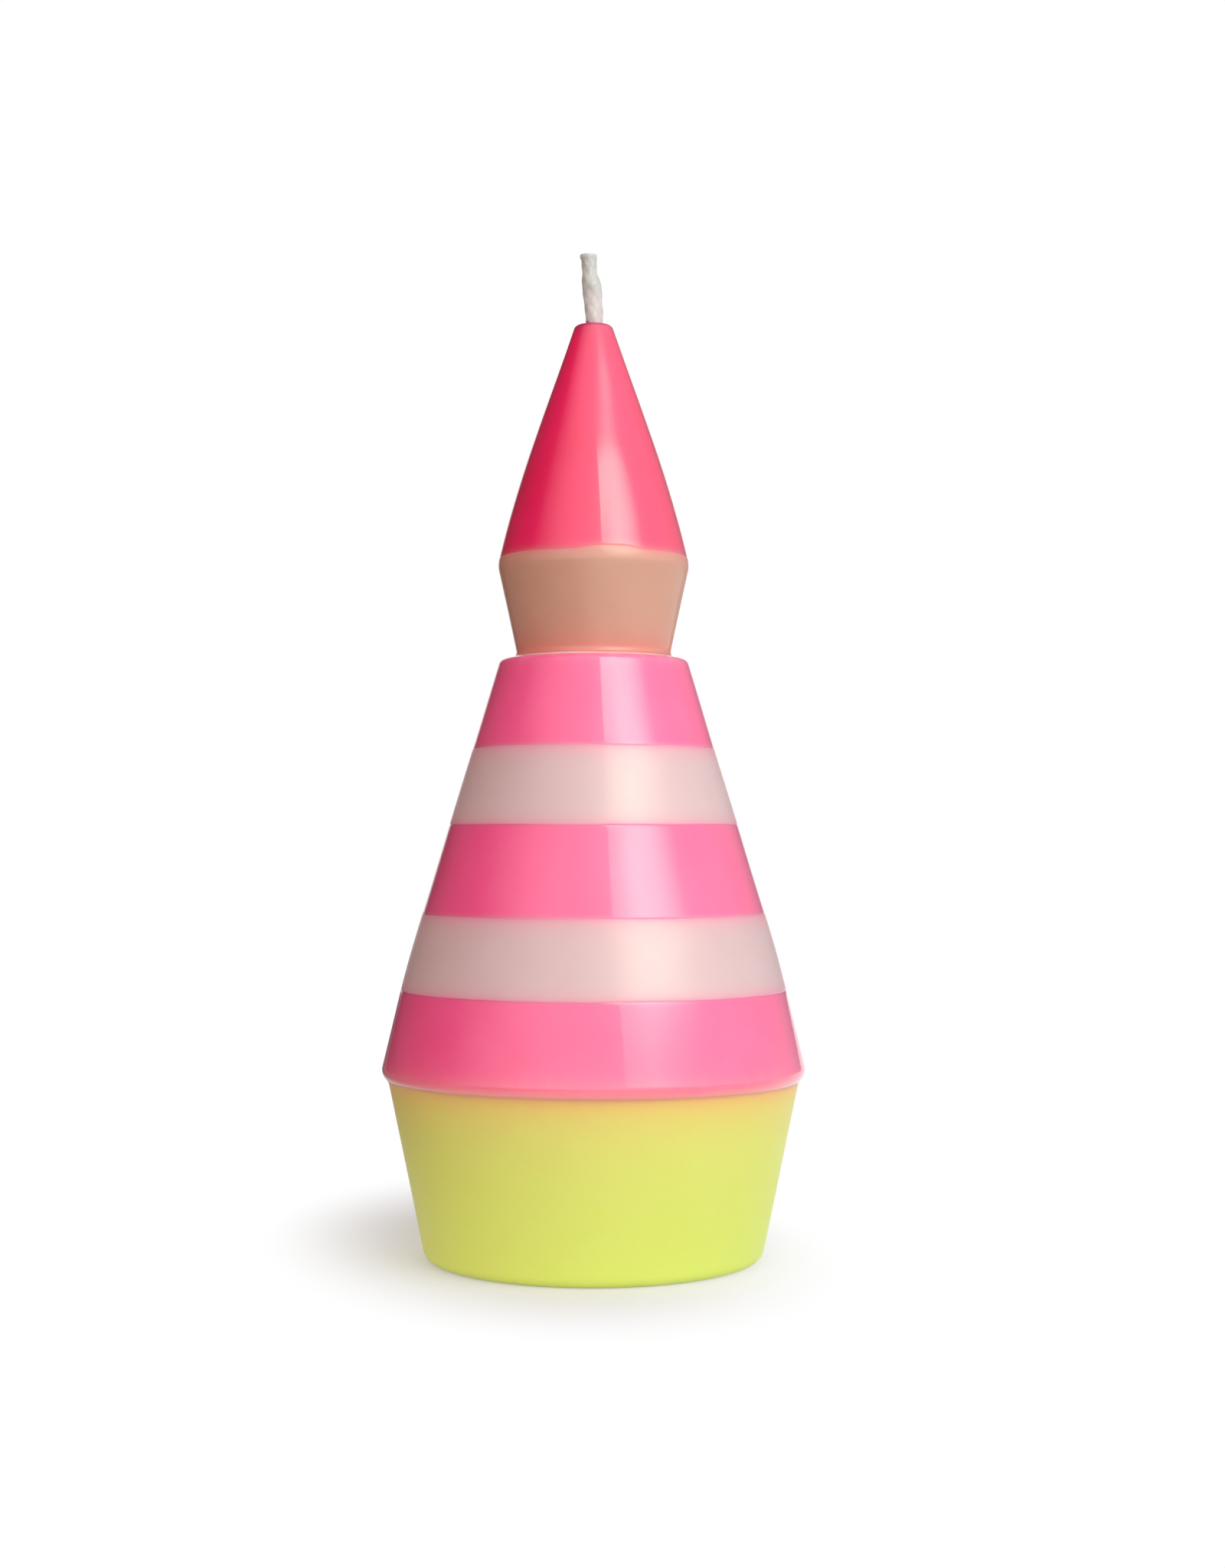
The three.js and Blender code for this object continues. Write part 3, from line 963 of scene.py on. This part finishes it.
# %% [markdown]
# ## The floor
#
# The candle stands on a seamless white sweep that the picture shows as pure white, with only a
# soft shadow near the foot. It is white card with a little light of its own, as on a light table,
# which keeps the foot's edge from going dark. For the camera and in reflections it is lifted to
# white beyond the shadow. At the left all other light and the reflections find a dark floor, as
# the real neck is dark on that side, and that ends well in front of the candle.

# %% Floor
FLOOR_SIZE = 6
FLOOR_DROP = 0.02 * MM
FLOOR_ALBEDO = "#D2D2D2"
SHADOW_LIFT = 0.185
SHADOW_MIDDLE = (-8.9 * MM, 16.4 * MM, 0)
SHADOW_REACH = (70 * MM, 40 * MM, 1)
SHADOW_BEARING = 100
WHITE_FROM = 0.47
WHITE_BEYOND = 1.24
DARK_SIDE = (-1, -0.05, 0)
DARK_FROM = 0.03
DARK_BEYOND = 0.10
DARK_UNTIL = 0.6   # towards the camera
WHITE_AGAIN = 0.9
DARK_FLOOR = 0.12


def lifted_to_white(tree, place, card):
    """The card near the candle, where the shadow is, and pure white beyond it"""
    from_shadow = put(tree, "ShaderNodeMapping", {
        "Vector": place, "Location": SHADOW_MIDDLE, "Scale": SHADOW_REACH,
        "Rotation": (0, 0, math.radians(SHADOW_BEARING))}, vector_type="TEXTURE").outputs[0]
    out = put(tree, "ShaderNodeVectorMath", {0: from_shadow}, operation="LENGTH").outputs["Value"]
    beyond = put(tree, "ShaderNodeMapRange", {
        0: out, 1: WHITE_FROM, 2: WHITE_BEYOND, 3: 0, 4: 1},
        interpolation_type="SMOOTHSTEP").outputs[0]
    white = put(tree, "ShaderNodeEmission", {"Strength": 1}).outputs[0]
    return put(tree, "ShaderNodeMixShader", {0: beyond, 1: card, 2: white}).outputs[0]


def how_dark(tree, place):
    """1 where the floor is dark, at the left and not far in front, and 0 elsewhere"""
    aside = put(tree, "ShaderNodeVectorMath", {0: place, 1: DARK_SIDE}, operation="DOT_PRODUCT")
    aside = put(tree, "ShaderNodeMapRange", {
        0: aside.outputs["Value"], 1: DARK_FROM, 2: DARK_BEYOND, 3: 0, 4: 1}).outputs[0]
    backward = put(tree, "ShaderNodeSeparateXYZ", {0: place}).outputs[1]
    return put(tree, "ShaderNodeMapRange", {
        0: backward, 1: -WHITE_AGAIN, 2: -DARK_UNTIL, 3: 0, 4: aside}).outputs[0]


# %% White card
def white_card():
    """Matt card, which differs for the camera, for reflections and for all other light"""
    material, tree, shader = new_material("white_card")
    shader.inputs["Base Color"].default_value = linear(FLOOR_ALBEDO)
    shader.inputs["Roughness"].default_value = 0.9
    shader.inputs["Specular IOR Level"].default_value = 0
    place = put(tree, "ShaderNodeTexCoord").outputs["Object"]
    rays = put(tree, "ShaderNodeLightPath").outputs
    seen = put(tree, "ShaderNodeMath", {
        0: rays["Is Camera Ray"], 1: rays["Is Transmission Ray"]}, operation="MAXIMUM").outputs[0]
    lift = put(tree, "ShaderNodeEmission", {"Strength": SHADOW_LIFT}).outputs[0]
    card = put(tree, "ShaderNodeAddShader", {0: shader.outputs[0], 1: lift}).outputs[0]
    shown = lifted_to_white(tree, place, card)
    unseen = put(tree, "ShaderNodeMixShader", {
        0: rays["Is Glossy Ray"], 1: card, 2: shown}).outputs[0]
    dark = put(tree, "ShaderNodeEmission", {"Strength": DARK_FLOOR}).outputs[0]
    unseen = put(tree, "ShaderNodeMixShader", {
        0: how_dark(tree, place), 1: unseen, 2: dark}).outputs[0]
    final = put(tree, "ShaderNodeMixShader", {0: seen, 1: unseen, 2: shown}).outputs[0]
    output = next(n for n in tree.nodes if n.type == "OUTPUT_MATERIAL")
    tree.links.new(final, output.inputs["Surface"])
    return material


def white_sweep():
    """The floor, a hair below the foot"""
    mesh = bpy.data.meshes.new("sweep")
    half = FLOOR_SIZE / 2
    mesh.from_pydata([(-half, -half, 0), (half, -half, 0), (half, half, 0), (-half, half, 0)],
                     [], [(0, 1, 2, 3)])
    floor = bpy.data.objects.new("sweep", mesh)
    floor.location.z = -FLOOR_DROP
    bpy.context.scene.collection.objects.link(floor)
    dress(floor, white_card())
    return floor


sweep = white_sweep()

# %% [markdown]
# ## The light
#
# The reflection down the candle is one tall softbox at the right: sharp at its left edge, which
# is the box's own edge and leans a little, and fading to the right, the top and the bottom, where
# the box's cloth is lit less. A box that bright would burn out the wax, so it is two area lamps:
# one that only reflections see, with those fades, and a dimmer one that only lights. The room
# fills the shade from the front and from behind, and is warm at the left, where the light comes
# back off the candle's own colours. Reflections see a room that is bright in front and at the
# right, dark at the left, and half bright behind, where the backdrop hangs.

# %% Softbox
BOX_DISTANCE = 0.8
FULL = 1.0
SIDEWAYS, UPWARD = 0, 1


def softbox(name, facing, edges, bottom, top, radiance, lean=0, fades=()):
    """An area lamp in the upright plane that faces a bearing, between the bearings of its edges"""
    lamp = bpy.data.lights.new(name, "AREA")
    lamp.shape = "RECTANGLE"
    left, right = (BOX_DISTANCE * math.tan(math.radians(edge - facing)) for edge in edges)
    lamp.size = right - left
    lamp.size_y = top - bottom
    lamp.energy = radiance * math.pi * lamp.size * lamp.size_y
    lamp.use_nodes = True
    tree = lamp.node_tree
    across_up = put(tree, "ShaderNodeSeparateXYZ", {
        0: put(tree, "ShaderNodeNewGeometry").outputs["Parametric"]}).outputs

    def faded(axis, dim, bright, least):
        """From least where it is dim to full where it is bright. Least can be a fade as well"""
        least = faded(*least) if isinstance(least, tuple) else least
        return put(tree, "ShaderNodeMapRange", {
            0: across_up[axis], 1: dim, 2: bright, 3: least, 4: FULL},
            interpolation_type="SMOOTHSTEP").outputs[0]

    strength = FULL
    for fade in fades:
        strength = put(tree, "ShaderNodeMath", {
            0: faded(*fade), 1: strength}, operation="MULTIPLY").outputs[0]
    if fades:
        tree.links.new(strength, tree.nodes["Emission"].inputs["Strength"])
    box = bpy.data.objects.new(name, lamp)
    turn, aside = math.radians(facing), (left + right) / 2
    box.location = (BOX_DISTANCE * math.sin(turn) + aside * math.cos(turn),
                    -BOX_DISTANCE * math.cos(turn) + aside * math.sin(turn), (bottom + top) / 2)
    box.rotation_euler = (math.pi / 2, -math.radians(lean), turn)
    bpy.context.scene.collection.objects.link(box)
    print(name, round(lamp.size, 2), "by", round(lamp.size_y, 2), "m")
    return box


# %% The box that is seen and the box that lights
SEEN_TINT = (1, 1, 0.82)
seen_fades = [
    (SIDEWAYS, 0.0, 0.2, (UPWARD, 0.44, 0.6, 0.42)),
    (SIDEWAYS, 0.88, 0.2, 0),
    (UPWARD, 0.11, 0.33, 0.05),
    (UPWARD, 0.867, 0.667, 0),
]
seen_box = softbox("softbox_seen", facing=15, edges=(9.9, 74.5), bottom=0.2, top=1.4,
                   radiance=7.3, lean=13, fades=seen_fades)
seen_box.data.color = SEEN_TINT
seen_box.visible_diffuse = False
light_box = softbox("softbox_light", facing=54, edges=(22, 86), bottom=0.05, top=0.95,
                    radiance=2.15)
light_box.visible_glossy = False

# %% Brightness of the room
FILL = 0.2
FRONT_FILL, FRONT_BEARING = 1.96, -24
BACK_FILL, BACK_BEARING = 1.6, 180
FILL_DIP = -0.06     # the fills come from just below the horizon, as off the floor
FILL_EDGE = 0.25     # cosine of the angle from a fill's middle at which it ends
LEFT_TINT, RIGHT_TINT = "#FFC7B3", "#FFFFFF"
TINT_FROM, TINT_TO = -0.95, -0.3
REFLECTED_FRONT = 2.1
REFLECTED_ROOM = [(-180, 0.5), (-168, 0.5), (-158, 0.01), (-87, 0.01), (-50, 0.68), (-25, 0.97),
                  (0, 1), (77, 0.92), (101, 0.76), (124, 0.36), (150, 0.14), (162, 0.1),
                  (170, 0.5), (180, 0.5)]   # bearing, share of the front
print("reflections see", len(REFLECTED_ROOM), "steps of light round the room")


def room_light(tree, direction, x):
    """What lights the candle: an even fill, more from the front and the back, warm at the left"""
    fill = FILL
    for strength, bearing in ((FRONT_FILL, FRONT_BEARING), (BACK_FILL, BACK_BEARING)):
        turn = math.radians(bearing)
        toward = put(tree, "ShaderNodeVectorMath", {
            0: direction, 1: (math.sin(turn), -math.cos(turn), FILL_DIP)}, operation="DOT_PRODUCT")
        part = put(tree, "ShaderNodeMapRange", {
            0: toward.outputs["Value"], 1: FILL_EDGE, 2: 1, 3: 0, 4: strength}).outputs[0]
        fill = put(tree, "ShaderNodeMath", {0: part, 1: fill}, operation="ADD").outputs[0]
    rightward = put(tree, "ShaderNodeMapRange", {0: x, 1: TINT_FROM, 2: TINT_TO}).outputs[0]
    tint = blend(tree, rightward, linear(LEFT_TINT), linear(RIGHT_TINT))
    return put(tree, "ShaderNodeBackground", {"Color": tint, "Strength": fill}).outputs[0]


def room_reflected(tree, x, y):
    """What reflections see, by bearing"""
    forward = put(tree, "ShaderNodeMath", {0: y, 1: -1}, operation="MULTIPLY").outputs[0]
    around = put(tree, "ShaderNodeMath", {0: x, 1: forward}, operation="ARCTAN2").outputs[0]
    around = put(tree, "ShaderNodeMapRange", {0: around, 1: -math.pi, 2: math.pi}).outputs[0]
    ramp = put(tree, "ShaderNodeValToRGB", {0: around})
    stops = ramp.color_ramp.elements
    while len(stops) < len(REFLECTED_ROOM):
        stops.new(0.5)
    for stop, (degrees, share) in zip(stops, REFLECTED_ROOM):
        stop.position = (degrees + 180) / 360
        stop.color = (share, share, share, 1)
    return put(tree, "ShaderNodeBackground", {
        "Color": ramp.outputs[0], "Strength": REFLECTED_FRONT}).outputs[0]


# %% Room
def room():
    """The world: white for the camera, the bearings' ramp for reflections, the fill for light"""
    world = bpy.data.worlds.new("room")
    bpy.context.scene.world = world
    world.use_nodes = True
    tree = world.node_tree
    tree.nodes.clear()
    rays = put(tree, "ShaderNodeLightPath").outputs
    direction = put(tree, "ShaderNodeTexCoord").outputs["Generated"]
    x, y, _ = put(tree, "ShaderNodeSeparateXYZ", {0: direction}).outputs
    shown = put(tree, "ShaderNodeMixShader", {
        0: rays["Is Glossy Ray"], 1: room_light(tree, direction, x),
        2: room_reflected(tree, x, y)}).outputs[0]
    clear = put(tree, "ShaderNodeMath", {
        0: rays["Is Camera Ray"], 1: rays["Is Transmission Ray"]}, operation="MAXIMUM").outputs[0]
    white = put(tree, "ShaderNodeBackground", {"Color": (1, 1, 1, 1)}).outputs[0]
    shown = put(tree, "ShaderNodeMixShader", {0: clear, 1: shown, 2: white}).outputs[0]
    put(tree, "ShaderNodeOutputWorld", {"Surface": shown})
    print(world.name, len(tree.nodes), "nodes")


room()
bpy.context.scene.view_settings.view_transform = "Standard"
